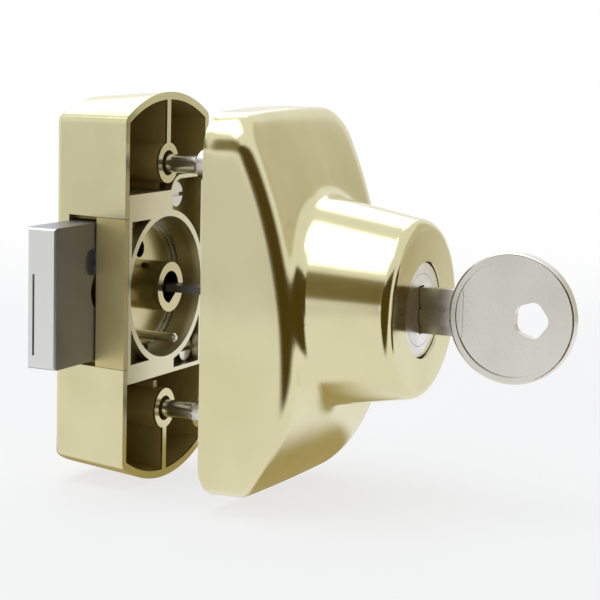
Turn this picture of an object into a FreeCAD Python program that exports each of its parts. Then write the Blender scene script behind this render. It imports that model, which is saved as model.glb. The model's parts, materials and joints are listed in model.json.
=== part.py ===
import FreeCAD, Part
import math
import os
import Sketcher
from FreeCAD import Placement, Rotation, Vector

# Deadbolt with a key cylinder, in two cast halves that clamp a door between them.
# Frame: the origin is on the hub's axis, in the plane of the inner case's open rim.
# X runs along the bolt, which is thrown towards -X. Y runs through the door: the inner
# case is on the +Y side, the outer cover and its barrel on the -Y side. Z is up.


class Size:
    """A length that is both a number and the formula that gives it in the sheet."""

    def __init__(self, value, text):
        self.value = float(value)
        self.text = text

    def __neg__(self):
        return Size(-self.value, "(-" + self.text + ")")

    def __add__(self, other):
        other = as_size(other)
        return Size(self.value + other.value, "(" + self.text + " + " + other.text + ")")

    def __sub__(self, other):
        other = as_size(other)
        return Size(self.value - other.value, "(" + self.text + " - " + other.text + ")")

    def __mul__(self, other):
        other = as_size(other)
        return Size(self.value * other.value, "(" + self.text + " * " + other.text + ")")

    def __truediv__(self, other):
        other = as_size(other)
        return Size(self.value / other.value, "(" + self.text + " / " + other.text + ")")

    __radd__ = __add__
    __rmul__ = __mul__

    def __rsub__(self, other):
        return as_size(other) - self


def as_size(value):
    if isinstance(value, Size):
        return value
    return Size(value, repr(float(value)))


def square_root(size):
    return Size(math.sqrt(size.value), "sqrt(" + size.text + ")")


def arc_tangent(size):
    """An angle in degrees."""
    return Size(math.degrees(math.atan(size.value)), "atan(" + size.text + ")")


# Driving dimensions: name, millimetres, what it measures.
DIMENSIONS = (
    ("door_gap", 22.6, "between the two rims, where the door goes"),
    ("throw", 14.0, "travel of the bolt"),
    ("slide_gap", 0.3, "clearance of sliding parts"),
    ("run_fit", 0.08, "radial clearance of turning fits"),
    ("rest_gap", 0.1, "between pieces that are fitted together"),
    ("case_half_width", 18.0, "case at its rim"),
    ("case_corner", 37.1, "height of the rim's corners above the hub"),
    ("case_arch", 5.2, "rise of the arched ends above the corners"),
    ("case_depth", 19.0, "rim to closed back"),
    ("case_side_draft", 3.0, "how far each side leans in over the depth"),
    ("case_end_draft", 1.8, "how far each end leans in over the depth"),
    ("case_wall", 1.6, "case walls and back"),
    ("case_corner_round", 1.8, "rounding of the case's long corners"),
    ("case_back_round", 1.6, "rounding round the closed back"),
    ("rib_thick", 1.6, "ribs on the centre line"),
    ("inner_rib", 2.6, "rim to the ribs between the bosses and the plate"),
    ("screw_spread", 27.0, "through screws above and below the hub"),
    ("boss_radius", 4.4, "screw bosses in the case"),
    ("boss_bore", 2.75, "wide part of the bosses' holes"),
    ("boss_bore_depth", 13.0, "depth of that wide part"),
    ("screw_radius", 1.95, "through screws, over their threads"),
    ("screw_core", 1.75, "their shanks, and their threads inside the posts"),
    ("screw_head", 3.9, "countersunk head's radius"),
    ("screw_reach", 14.0, "how far the screws pass the rim"),
    ("screw_neck", 7.3, "break-off groove past the rim"),
    ("screw_neck_depth", 0.6, "break-off groove"),
    ("bolt_front", 8.0, "rim to the bolt's front face"),
    ("bolt_thick", 7.0, "bolt thickness"),
    ("bolt_half_height", 14.8, "bolt above and below the hub"),
    ("bolt_reach", 14.0, "how far the thrown bolt stands out of the case"),
    ("bolt_web", 2.0, "bolt behind the pin's slot"),
    ("bolt_edge", 0.5, "chamfer round the bolt's end"),
    ("bolt_tail_bevel", 2.5, "bevelled corners of the bolt's tail"),
    ("bolt_scallop", 2.8, "radius of the scallop on the bolt's face"),
    ("bolt_scallop_up", 6.5, "scallop above the hub's height"),
    ("bolt_scallop_depth", 1.0, "scallop"),
    ("bolt_seam", 0.5, "narrow groove in the bolt's end"),
    ("bolt_seam_top", 5.0, "that groove's upper end"),
    ("bolt_seam_bottom", 12.0, "that groove's lower end"),
    ("bolt_seam_back", 1.3, "that groove from the bolt's back"),
    ("slot_half_height", 16.1, "bolt opening in the case wall"),
    ("guide_wall", 3.2, "walls above and below the bolt"),
    ("rail_low", 7.6, "guide rails behind the bolt, inner edge"),
    ("rail_high", 12.6, "guide rails behind the bolt, outer edge"),
    ("plate_thick", 7.7, "mechanism plate"),
    ("plate_top", 21.0, "upper strip's top edge"),
    ("plate_bottom", 19.4, "lower strip's bottom edge"),
    ("plate_edge", 0.9, "rim left round the plate's hollows"),
    ("strip_end", 3.6, "lower strip ends this far right of the hub"),
    ("pocket_draft", 1.1, "how much narrower the hub pocket is at the disc than at the rim"),
    ("ring_wall", 1.4, "wall round the hub pocket"),
    ("spandrel_depth", 2.4, "corner hollows left of the pocket"),
    ("spandrel_inset", 1.5, "from the pocket's ring, top and bottom, to those hollows' level edges"),
    ("lobe_radius", 4.6, "round corner of the plate at the upper screw"),
    ("lobe_across", 5.8, "middle of that corner right of the hub"),
    ("lobe_up", 19.6, "middle of that corner and upper plate screw above the hub"),
    ("upper_screw_across", 6.9, "upper plate screw right of the hub"),
    ("seat_gap", 0.2, "lower plate screw's head from its seat's walls"),
    ("seat_depth", 3.4, "seats of the plate screws"),
    ("plate_screw_head", 2.7, "plate screws' head radius"),
    ("pillar_wall", 1.0, "wall round the plate screws' tapped holes"),
    ("plate_screw_head_thick", 1.6, "plate screws' heads"),
    ("plate_screw_radius", 1.4, "plate screws' shanks"),
    ("plate_screw_length", 9.0, "plate screws below the head"),
    ("screw_slot", 0.9, "driver slots in the screws"),
    ("hub_disc_front", 5.9, "rim to the hub's disc"),
    ("hub_disc_thick", 1.7, "hub disc"),
    ("hub_tube_radius", 5.45, "tubular boss of the hub"),
    ("hub_tube_proud", 0.95, "how far the tube stands in front of the rim"),
    ("hub_bore", 3.5, "hole in the tube"),
    ("hub_bore_depth", 4.5, "depth of that hole"),
    ("hub_bore_flat", 2.6, "flat in the hole, from the axis"),
    ("hub_stub_radius", 4.0, "rear journal of the hub"),
    ("bush_wall", 1.0, "rear bush"),
    ("bush_length", 2.0, "rear bush"),
    ("ring_thick", 0.8, "snap ring"),
    ("ring_proud", 0.9, "snap ring inside the pocket's wall"),
    ("ring_sunk", 0.6, "snap ring in its groove"),
    ("drive_pin_radius", 1.5, "pin that moves the bolt"),
    ("drive_slot_gap", 0.4, "pin in the bolt's slot, each side"),
    ("stud_radius", 1.0, "small stud on the disc"),
    ("stud_across", 3.0, "stud right of the hub's axis"),
    ("stud_inset", 1.7, "stud inside the snap ring"),
    ("eye_radius", 1.9, "round hole in the disc"),
    ("eye_across", 1.7, "that hole left of the axis"),
    ("eye_up", 8.0, "that hole above the axis"),
    ("tail_width", 5.0, "tailpiece"),
    ("tail_thick", 1.5, "tailpiece"),
    ("tail_gap", 0.2, "tailpiece in the hub's slot, each side"),
    ("tail_reach", 9.0, "tailpiece past the case's rim"),
    ("tail_root", 10.4, "cover's rim to the tailpiece's other end"),
    ("cover_half_width", 26.0, "cover at its rim"),
    ("cover_side", 39.1, "half height of the cover's straight sides"),
    ("cover_arch", 1.0, "rise of the cover's ends above that"),
    ("cover_corner", 8.0, "cover's corners, seen from the front"),
    ("cover_lean", 0.08, "how far the cover's sides lean in for each millimetre outwards"),
    ("cover_wall", 2.2, "cover's walls"),
    ("cover_edge", 3.3, "rounding of the front's edge"),
    ("crest_height", 20.0, "front face's highest line above the rim"),
    ("crest_drop", 10.5, "that line below the barrel's axis"),
    ("upper_drop", 13.4, "how far the front falls from the crest to the upper end"),
    ("lower_drop", 13.0, "how far the front falls from the crest to the lower end"),
    ("barrel_radius", 18.7, "barrel at its end"),
    ("barrel_draft", 4.0, "how much wider the barrel is at its root"),
    ("barrel_length", 38.2, "rim to the barrel's end"),
    ("barrel_edge", 2.2, "rounding of the barrel's end"),
    ("barrel_foot", 3.4, "fillet where the barrel meets the front"),
    ("barrel_seat", 13.5, "rim to the nut's seat inside the barrel"),
    ("barrel_bore", 15.5, "bore of the barrel"),
    ("barrel_end_wall", 3.6, "barrel's end wall"),
    ("nose_radius", 9.8, "visible nose of the cylinder"),
    ("nose_gap", 0.25, "nose in the barrel's end"),
    ("nose_recess", 0.8, "nose behind the barrel's end"),
    ("cylinder_radius", 15.3, "cylinder body"),
    ("thread_radius", 12.0, "threaded rear of the cylinder body"),
    ("cylinder_rear", 8.6, "rim to the cylinder body's rear"),
    ("channel_half_width", 3.4, "channels for the wafers in the body"),
    ("channel_reach", 9.4, "those channels from the axis"),
    ("seat_lip", 1.5, "washer's bearing round the barrel's bore"),
    ("nut_thick", 3.2, "nut"),
    ("washer_thick", 0.8, "washer under the nut"),
    ("plug_radius", 7.5, "plug"),
    ("plug_tail_radius", 5.6, "rear of the plug"),
    ("plug_tail_length", 4.6, "rear of the plug behind the body"),
    ("clip_thick", 0.9, "plug's clip"),
    ("clip_radius", 8.6, "plug's clip"),
    ("clip_groove", 0.6, "depth of the clip's groove"),
    ("keyway_width", 2.7, "keyway"),
    ("keyway_spare", 5.9, "keyway beyond the blade's tip"),
    ("key_fit", 0.25, "key in the keyway, each side"),
    ("blade_half_height", 4.8, "key blade"),
    ("blade_beyond", 2.5, "last wafer to the blade's tip"),
    ("blade_point", 2.4, "bevels at the blade's tip"),
    ("cut_width", 1.4, "cuts in the blade's lower edge"),
    ("groove_depth", 0.6, "grooves in the blade's sides"),
    ("groove_low", 0.2, "side groove above the axis, lower edge"),
    ("groove_high", 1.5, "side groove above the axis, upper edge"),
    ("groove_ahead", 6.6, "plug's face to that groove's pointed end"),
    ("step_depth", 0.8, "step along the blade's lower edge"),
    ("step_down", 2.7, "that step's upper edge below the axis"),
    ("step_ahead", 8.4, "plug's face to that step's blunt end"),
    ("bow_ahead", 20.0, "plug's face to the middle of the key's bow"),
    ("bow_radius", 13.4, "key's bow"),
    ("bow_thick", 2.8, "key's bow at its rim"),
    ("bow_rim", 1.5, "width of the bow's raised rim"),
    ("bow_recess", 0.4, "bow's face behind its rim"),
    ("bow_round", 0.5, "rounding of the bow's rim"),
    ("bow_hole_radius", 4.2, "five-sided hole before its corners are rounded, over those"),
    ("bow_hole_offset", 4.1, "hole beyond the bow's middle"),
    ("bow_hole_round", 2.0, "corners of that hole"),
    ("wafer_thick", 0.9, "wafers"),
    ("wafer_half_width", 3.0, "wafers"),
    ("wafer_half_height", 6.7, "wafers"),
    ("wafer_gap", 0.15, "wafers in their slots"),
    ("wafer_pitch", 3.2, "from one wafer to the next"),
    ("first_wafer", 4.6, "plug's face to the first wafer"),
    ("spring_width", 0.8, "leaf springs beside the wafers"),
    ("spring_length", 4.2, "leaf springs beside the wafers"),
    ("spring_leaf", 0.25, "their thickness"),
    ("post_radius", 3.25, "threaded posts"),
    ("post_start", 8.6, "case's rim to the posts' ends"),
    ("post_root", 3.6, "collars at the posts' roots"),
    ("post_root_proud", 0.5, "those collars in front of the lugs"),
    ("post_depth", 8.0, "posts inside the cover's rim"),
    ("post_boss", 5.2, "cover's lugs round the posts, half their width"),
    ("post_boss_start", 2.0, "cover's rim to those lugs"),
    ("hard_pin_radius", 1.3, "hardened rods in the bolt"),
    ("hard_pin_spread", 2.4, "rods above and below the hub's height"),
    ("hard_pin_length", 10.6, "hardened rods"),
    ("tail_screw_radius", 1.0, "screw through the plug's rear"),
    ("tail_screw_head", 1.7, "its head"),
    ("tail_screw_place", 5.8, "cover's rim to that screw"),
)
CUT_DEPTHS = (0.6, 1.3, 0.9, 1.6, 0.7)
COUNTERSINK_ANGLE = 45.0
WAFER_COUNT = len(CUT_DEPTHS)

doc = FreeCAD.newDocument("Deadbolt")
sheet = doc.addObject("Spreadsheet::Sheet", "Dims")


class Dims:
    """The sheet's cells as sizes, by name."""


d = Dims()
for row, (alias, value, note) in enumerate(DIMENSIONS, start=1):
    sheet.set("A%d" % row, note)
    sheet.set("B%d" % row, str(value))
    sheet.setAlias("B%d" % row, alias)
    setattr(d, alias, Size(value, "Dims." + alias))
doc.recompute()


# Tools that bind properties and draw sketches.

def bind(target, name, size):
    """Ties a property to the sheet, or sets it where it is a plain number."""
    if isinstance(size, Size):
        target.setExpression(name, size.text)
    else:
        target.setExpression(name, repr(float(size)))


def new_body(label):
    body = doc.addObject("PartDesign::Body", "Body_" + label)
    body.Label = label
    return body


def origin_plane(body, role):
    return [item for item in body.Origin.OriginFeatures if item.Role == role][0]


def new_sketch(body, name, role="XZ_Plane", offset=0.0):
    """A sketch on an origin plane. On XZ, offset runs along +Y, on the others outwards."""
    sketch = body.newObject("Sketcher::SketchObject", name)
    sketch.AttachmentSupport = [(origin_plane(body, role), "")]
    sketch.MapMode = "FlatFace"
    size = as_size(offset)
    if role == "XZ_Plane":
        size = -size
    bind(sketch, "AttachmentOffset.Base.z", size)
    return sketch


def fix_point(sketch, element, position, across, up):
    for kind, size, axis in (("DistanceX", across, -2), ("DistanceY", up, -1)):
        size = as_size(size)
        if size.value == 0.0:
            sketch.addConstraint(Sketcher.Constraint("PointOnObject", element, position, axis))
            continue
        index = sketch.addConstraint(
            Sketcher.Constraint(kind, -1, 1, element, position, size.value))
        sketch.setExpression("Constraints[%d]" % index, size.text)


def fix_radius(sketch, element, radius):
    index = sketch.addConstraint(Sketcher.Constraint("Radius", element, abs(radius.value)))
    sketch.setExpression("Constraints[%d]" % index, radius.text)


def point(corner):
    return Vector(as_size(corner[0]).value, as_size(corner[1]).value, 0)


def short_arc(start, end, radius, clockwise):
    """The shorter arc of this radius from start to end."""
    chord = end - start
    side = Vector(-chord.y, chord.x, 0).normalize()
    if clockwise:
        side = -side
    middle = (start + end) * 0.5
    rise = math.sqrt(max(radius ** 2 - (chord.Length / 2) ** 2, 0.0))
    centre = middle + side * rise
    angles = [math.atan2(spot.y - centre.y, spot.x - centre.x) for spot in (start, end)]
    if clockwise:
        angles.reverse()
    circle = Part.Circle(centre, Vector(0, 0, 1), radius)
    return Part.ArcOfCircle(circle, angles[0], angles[1])


def outline(sketch, corners, arcs=None, clockwise_arcs=None):
    """A closed outline. arcs and clockwise_arcs give a radius to sides, by number."""
    arcs = arcs or {}
    clockwise_arcs = clockwise_arcs or {}
    sides = []
    ends = []
    count = len(corners)
    for index in range(count):
        start = point(corners[index])
        end = point(corners[(index + 1) % count])
        radius = arcs.get(index) or clockwise_arcs.get(index)
        if radius is None:
            sides.append(sketch.addGeometry(Part.LineSegment(start, end), False))
            ends.append((1, 2))
            continue
        radius = as_size(radius)
        turned = index in clockwise_arcs
        arc = short_arc(start, end, radius.value, turned)
        sides.append(sketch.addGeometry(arc, False))
        ends.append((2, 1) if turned else (1, 2))
    for index in range(count):
        after = (index + 1) % count
        sketch.addConstraint(Sketcher.Constraint(
            "Coincident", sides[index], ends[index][1], sides[after], ends[after][0]))
        fix_point(sketch, sides[index], ends[index][0], corners[index][0], corners[index][1])
        radius = arcs.get(index) or clockwise_arcs.get(index)
        if radius is not None:
            fix_radius(sketch, sides[index], as_size(radius))


def rectangle(sketch, left, bottom, right, top):
    outline(sketch, [(left, bottom), (right, bottom), (right, top), (left, top)])


def circle(sketch, across, up, radius):
    radius = as_size(radius)
    spot = point((across, up))
    element = sketch.addGeometry(Part.Circle(spot, Vector(0, 0, 1), radius.value), False)
    fix_point(sketch, element, 3, across, up)
    fix_radius(sketch, element, radius)


def upright_slot(sketch, across, low, high, radius):
    """A slot with round ends; low and high are the centres of its ends."""
    outline(sketch,
            [(across - radius, low), (across, low - radius), (across + radius, low),
             (across + radius, high), (across, high + radius), (across - radius, high)],
            arcs={0: radius, 1: radius, 3: radius, 4: radius})


# Tools that add features to a body.

def extrude(body, kind, sketch, length, backward=True, both=False):
    """Pad or Pocket along the sketch's normal; backward turns it round."""
    feature = body.newObject("PartDesign::" + kind, sketch.Name + "_" + kind)
    feature.Profile = sketch
    if length is None:
        feature.Type = "ThroughAll"
    else:
        bind(feature, "Length", as_size(length))
    if both:
        feature.Midplane = True
    else:
        feature.Reversed = backward
    doc.recompute()
    return feature


def pad_back(body, sketch, length):
    """Pads an XZ sketch towards +Y."""
    return extrude(body, "Pad", sketch, length, backward=True)


def cut_back(body, sketch, length):
    """Cuts an XZ sketch towards +Y, and checks that it took something away."""
    before = body.Shape.Volume
    feature = extrude(body, "Pocket", sketch, length, backward=False)
    if body.Shape.Volume >= before - 1e-6:
        raise ValueError(feature.Name + " cuts nothing")
    return feature


def cut_through(body, sketch):
    """Cuts a sketch through everything, both ways."""
    before = body.Shape.Volume
    feature = extrude(body, "Pocket", sketch, None, both=True)
    if body.Shape.Volume >= before - 1e-6:
        raise ValueError(feature.Name + " cuts nothing")
    return feature


def turn(body, kind, sketch):
    """Revolution or Groove of an XY sketch about the Y axis."""
    before = 0.0 if kind == "Revolution" else body.Shape.Volume
    feature = body.newObject("PartDesign::" + kind, sketch.Name + "_" + kind)
    feature.Profile = sketch
    feature.ReferenceAxis = (sketch, ["V_Axis"])
    feature.Angle = 360.0
    doc.recompute()
    if kind == "Groove" and body.Shape.Volume >= before - 1e-6:
        raise ValueError(feature.Name + " cuts nothing")
    return feature


def edges_where(shape, test):
    """Names of the edges for which test is true of the list of their end points."""
    return ["Edge%d" % (number + 1) for number, edge in enumerate(shape.Edges)
            if test([vertex.Point for vertex in edge.Vertexes])]


def between(first, last):
    """Edges that run from one depth to the other."""
    low, high = sorted((as_size(first).value, as_size(last).value))
    return lambda ends: (len(ends) == 2 and abs(min(end.y for end in ends) - low) < 0.01
                         and abs(max(end.y for end in ends) - high) < 0.01)


def at_depth(depth):
    """Edges that lie at one depth."""
    level = as_size(depth).value
    return lambda ends: all(abs(end.y - level) < 0.01 for end in ends)


def dress(body, kind, names, size):
    """Fillet or Chamfer of the named edges of the body's last feature."""
    if not names:
        raise ValueError("no edges to dress on " + body.Label)
    base = body.Tip
    feature = body.newObject("PartDesign::" + kind, body.Label + "_" + kind)
    feature.Base = (base, names)
    bind(feature, "Radius" if kind == "Fillet" else "Size", size)
    doc.recompute()
    if feature.Shape.isNull():
        raise ValueError(feature.Name + " fails")
    return feature


def mirror_down(body, features):
    """Repeats features below the hub's height."""
    feature = body.newObject("PartDesign::Mirrored", body.Label + "_mirror_" + features[0].Name)
    feature.Originals = features
    feature.MirrorPlane = (origin_plane(body, "XY_Plane"), [""])
    body.Tip = feature
    doc.recompute()
    return feature


# Tools for pieces made of primitives.

FACING_BACK = Rotation(Vector(1, 0, 0), -90)
FACING_RIGHT = Rotation(Vector(0, 1, 0), 90)
FACING_UP = Rotation()


def place(item, across, along, up):
    bind(item, "Placement.Base.x", as_size(across))
    bind(item, "Placement.Base.y", as_size(along))
    bind(item, "Placement.Base.z", as_size(up))


def rod(name, radius, length, across, along, up, facing=FACING_BACK):
    """A cylinder from the given point, along +Y unless it faces another way."""
    item = doc.addObject("Part::Cylinder", name)
    bind(item, "Radius", as_size(radius))
    bind(item, "Height", as_size(length))
    item.Placement = Placement(Vector(0, 0, 0), facing)
    place(item, across, along, up)
    return item


def cone(name, near, far, length, across, along, up):
    """A cone along +Y: near is its radius at the given point, far at its other end."""
    item = doc.addObject("Part::Cone", name)
    bind(item, "Radius1", as_size(near))
    bind(item, "Radius2", as_size(far))
    bind(item, "Height", as_size(length))
    item.Placement = Placement(Vector(0, 0, 0), FACING_BACK)
    place(item, across, along, up)
    return item


def block(name, low, high):
    """A box between two corners."""
    item = doc.addObject("Part::Box", name)
    for prop, near, far in zip(("Length", "Width", "Height"), low, high):
        bind(item, prop, as_size(far) - as_size(near))
    place(item, low[0], low[1], low[2])
    return item


def join(name, items):
    item = doc.addObject("Part::MultiFuse", name)
    item.Shapes = items
    return item


def subtract(name, base, tools):
    """base without the tools."""
    item = doc.addObject("Part::Cut", name)
    item.Base = base
    item.Tool = tools[0] if len(tools) == 1 else join(name + "_tools", tools)
    return item


def group(name, items):
    """Separate solids in one piece's file."""
    item = doc.addObject("Part::Compound", name)
    item.Links = items
    return item


pieces = {}


def keep(label, item):
    item.Label = label
    pieces[label] = item
    return item


# Derived places that several pieces share.

bolt_back = d.bolt_front + d.bolt_thick
rail_front = bolt_back + d.slide_gap
case_inner_depth = d.case_depth - d.case_wall
case_inner_half_width = d.case_half_width - d.case_wall
case_rise = d.case_half_width * d.case_half_width + d.case_arch * d.case_arch
arch_radius = case_rise / (2 * d.case_arch)
side_lean = d.case_side_draft / d.case_depth
case_end_angle = arc_tangent(d.case_end_draft / d.case_depth)
pin_place = d.throw / 2
pin_swing = d.throw * math.sqrt(0.5)
plate_half_width = case_inner_half_width - d.rest_gap
pocket_radius = plate_half_width - d.plate_edge
plate_ring = pocket_radius + d.ring_wall
pocket_floor_radius = pocket_radius - d.pocket_draft
hub_disc_radius = pocket_floor_radius - d.run_fit
ring_inner = pocket_floor_radius - d.ring_proud
ring_outer = pocket_floor_radius + d.ring_sunk
stud_down = ring_inner - d.stud_inset
seat_right = plate_half_width - d.plate_edge - side_lean * d.seat_depth
seat_floor = d.plate_bottom - d.plate_edge
foot_across = seat_right - d.plate_screw_head - d.seat_gap
foot_down = seat_floor - d.plate_screw_head - d.seat_gap
pillar_radius = d.plate_screw_radius + d.pillar_wall
drive_slot_radius = d.drive_pin_radius + d.drive_slot_gap
bolt_tail_end = drive_slot_radius + d.bolt_web - pin_place
washer_radius = d.barrel_bore + d.seat_lip
hub_disc_back = d.hub_disc_front + d.hub_disc_thick
bush_outer = d.hub_stub_radius + d.run_fit + d.bush_wall
plate_screw_places = (("Upper", d.upper_screw_across, d.lobe_up), ("Lower", foot_across, -foot_down))
through_screw_places = (("Upper", d.screw_spread), ("Lower", -d.screw_spread))


def ahead(height):
    """The place along Y that lies this far out from the cover's rim."""
    return -(d.door_gap + height)


plug_face = ahead(d.barrel_length - d.nose_recess)
wafer_places = [plug_face + d.first_wafer + number * d.wafer_pitch for number in range(WAFER_COUNT)]
blade_tip = wafer_places[-1] + d.blade_beyond
bow_centre = plug_face - d.bow_ahead


# Inner case.

def lean_sides(body, name, half_width, lean, start, end):
    """Trims both sides so that each leans in by this much from start to end."""
    sketch = new_sketch(body, name, role="XY_Plane")
    for sign in (1, -1):
        outline(sketch, [(sign * half_width, start), (sign * (half_width - lean), end),
                         (sign * (half_width + 1), end), (sign * (half_width + 1), start)])
    cut_through(body, sketch)


def make_case():
    body = new_body("case")
    rim = new_sketch(body, "CaseRim")
    peak = d.case_corner
    outline(rim,
            [(d.case_half_width, -peak), (d.case_half_width, peak),
             (-d.case_half_width, peak), (-d.case_half_width, -peak)],
            arcs={1: arch_radius, 3: arch_radius})
    shell = pad_back(body, rim, d.case_depth)
    bind(shell, "TaperAngle", -case_end_angle)
    doc.recompute()
    lean_sides(body, "CaseSides", d.case_half_width, d.case_side_draft, 0.0, d.case_depth)
    hollow(body, 0.0, d.case_wall)
    dress(body, "Fillet", edges_where(body.Shape, between(0.0, d.case_depth)), d.case_corner_round)
    dress(body, "Fillet", edges_where(body.Shape, at_depth(d.case_depth)), d.case_back_round)

    root = d.case_wall / 2
    floor_end = case_inner_depth + root
    end_lean = d.case_end_draft / d.case_depth
    crown = d.case_corner + d.case_arch - root
    rib = new_sketch(body, "Rib", role="YZ_Plane")
    rib_low = d.screw_spread + d.boss_bore + root
    outline(rib, [(0.0, rib_low), (floor_end, rib_low),
                  (floor_end, crown - end_lean * floor_end), (0.0, crown)])
    rib_pad = extrude(body, "Pad", rib, d.rib_thick, both=True)
    boss = new_sketch(body, "Boss")
    circle(boss, 0.0, d.screw_spread, d.boss_radius)
    boss_pad = pad_back(body, boss, floor_end)
    link = new_sketch(body, "InnerRib", role="YZ_Plane")
    rectangle(link, d.inner_rib, d.plate_top + d.rest_gap, floor_end, d.screw_spread - d.boss_bore - root)
    link_pad = extrude(body, "Pad", link, d.rib_thick, both=True)
    guide = d.bolt_half_height + d.slide_gap
    wall = new_sketch(body, "GuideWall", role="XY_Plane", offset=guide)
    front_half = d.case_half_width - root - side_lean * d.plate_thick
    rear_half = d.case_half_width - root - side_lean * floor_end
    outline(wall, [(-front_half, d.plate_thick), (front_half, d.plate_thick),
                   (rear_half, floor_end), (-rear_half, floor_end)])
    wall_pad = extrude(body, "Pad", wall, d.guide_wall, backward=False)
    rail = new_sketch(body, "Rail", offset=rail_front)
    rectangle(rail, -rear_half, d.rail_low, rear_half, d.rail_high)
    rail_pad = pad_back(body, rail, floor_end - rail_front)
    mirror_down(body, [rib_pad, boss_pad, link_pad, wall_pad, rail_pad])

    opening = new_sketch(body, "BoltOpening", offset=-1.0)
    rectangle(opening, -d.case_half_width - 1, -d.slot_half_height,
              -case_inner_half_width + d.case_side_draft, d.slot_half_height)
    cut_back(body, opening, rail_front + 1)

    seat = new_sketch(body, "BearingBoss", offset=rail_front)
    circle(seat, 0.0, 0.0, bush_outer + d.case_wall)
    pad_back(body, seat, floor_end - rail_front)
    bush_hole = new_sketch(body, "BushHole", offset=bolt_back)
    circle(bush_hole, 0.0, 0.0, bush_outer)
    cut_back(body, bush_hole, d.slide_gap + d.bush_length)

    for name, across, up in plate_screw_places:
        pillar = new_sketch(body, name + "Pillar", offset=d.plate_thick)
        circle(pillar, across, up, pillar_radius)
        pad_back(body, pillar, floor_end - d.plate_thick)
        tapped = new_sketch(body, name + "Tapped", offset=d.plate_thick)
        circle(tapped, across, up, d.plate_screw_radius)
        cut_back(body, tapped, d.plate_screw_length + d.seat_depth - d.plate_thick)

    for name, up in through_screw_places:
        wide = new_sketch(body, name + "BossBore", offset=-1.0)
        circle(wide, 0.0, up, d.boss_bore)
        cut_back(body, wide, d.boss_bore_depth + 1)
        through = new_sketch(body, name + "ScrewHole", offset=-1.0)
        circle(through, 0.0, up, d.screw_radius + d.rest_gap)
        cut_back(body, through, None)
        sink = new_sketch(body, name + "Countersink", offset=d.case_depth)
        circle(sink, 0.0, up, d.screw_head)
        cone_cut = extrude(body, "Pocket", sink, d.screw_head - d.screw_radius, backward=True)
        bind(cone_cut, "TaperAngle", -COUNTERSINK_ANGLE)
        doc.recompute()
    return body


# Mechanism plate, which closes the front of the bolt's channel and holds the hub.

def ring_height(across):
    """Height above the hub of the pocket's outer wall at a distance across."""
    return square_root(plate_ring * plate_ring - across * across)


def make_mechanism_plate():
    body = new_body("mechanism_plate")
    face = new_sketch(body, "PlateFace")
    lobe_top = d.lobe_up + d.lobe_radius
    strip_rise = d.plate_top - d.lobe_up
    lobe_cut = square_root(d.lobe_radius * d.lobe_radius - strip_rise * strip_rise)
    outline(face,
            [(-plate_half_width, -d.plate_bottom), (plate_half_width, -d.plate_bottom),
             (plate_half_width, lobe_top), (d.lobe_across, lobe_top),
             (d.lobe_across - lobe_cut, d.plate_top), (-plate_half_width, d.plate_top)],
            arcs={3: d.lobe_radius})
    pad_back(body, face, d.plate_thick)
    lean_sides(body, "PlateSides", plate_half_width, side_lean * d.plate_thick, 0.0, d.plate_thick)

    pocket = new_sketch(body, "HubPocket", role="XY_Plane")
    outline(pocket, [(0.0, -1.0), (pocket_radius, -1.0), (pocket_radius, 0.0),
                     (pocket_floor_radius, d.hub_disc_front),
                     (pocket_floor_radius, d.plate_thick + 1), (0.0, d.plate_thick + 1)])
    turn(body, "Groove", pocket)
    ring = new_sketch(body, "SnapRingGroove", role="XY_Plane")
    ring_back = d.hub_disc_front - d.rest_gap
    outline(ring, [(ring_inner - 1, ring_back - d.ring_thick), (ring_outer, ring_back - d.ring_thick),
                   (ring_outer, ring_back), (ring_inner - 1, ring_back)])
    turn(body, "Groove", ring)

    edge = plate_half_width - d.plate_edge - side_lean * d.spandrel_depth
    level = plate_ring - d.spandrel_inset
    inner = square_root(plate_ring * plate_ring - level * level)
    spandrel = new_sketch(body, "LeftSpandrels", offset=-1.0)
    for side in (1, -1):
        tip = (-inner, side * level)
        corner = (-edge, side * level)
        low = (-edge, side * ring_height(edge))
        if side > 0:
            outline(spandrel, [tip, corner, low], clockwise_arcs={2: plate_ring})
        else:
            outline(spandrel, [low, corner, tip], clockwise_arcs={2: plate_ring})
    cut_back(body, spandrel, d.spandrel_depth + 1)

    hollow_radius = d.lobe_radius - d.plate_edge
    left = d.lobe_across - hollow_radius
    upper = new_sketch(body, "UpperSeat", offset=-1.0)
    outline(upper,
            [(left, ring_height(left)), (seat_right, ring_height(seat_right)),
             (seat_right, d.lobe_up + hollow_radius),
             (d.lobe_across, d.lobe_up + hollow_radius), (left, d.lobe_up)],
            arcs={3: hollow_radius}, clockwise_arcs={0: plate_ring})
    cut_back(body, upper, d.seat_depth + 1)
    lower = new_sketch(body, "LowerSeat", offset=-1.0)
    outline(lower,
            [(d.strip_end, -seat_floor), (seat_right, -seat_floor), (seat_right, -ring_height(seat_right)),
             (d.strip_end, -ring_height(d.strip_end))],
            clockwise_arcs={2: plate_ring})
    cut_back(body, lower, d.seat_depth + 1)
    for name, across, up in plate_screw_places:
        hole = new_sketch(body, name + "PlateScrewHole", offset=-1.0)
        circle(hole, across, up, d.plate_screw_radius + d.rest_gap)
        cut_back(body, hole, None)
    return body


def make_bolt_slot_filler():
    """The tapered strip that carries the case's side across the open part of the bolt's slot."""
    body = new_body("bolt_slot_filler")
    section = new_sketch(body, "FillerSection", role="XY_Plane")
    lean = side_lean * d.plate_thick
    outline(section, [(-d.case_half_width, 0.0), (-case_inner_half_width, 0.0),
                      (lean - case_inner_half_width, d.plate_thick),
                      (lean - d.case_half_width, d.plate_thick)])
    extrude(body, "Pad", section, 2 * (d.slot_half_height - d.rest_gap), both=True)
    return body


# Bolt.

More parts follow.
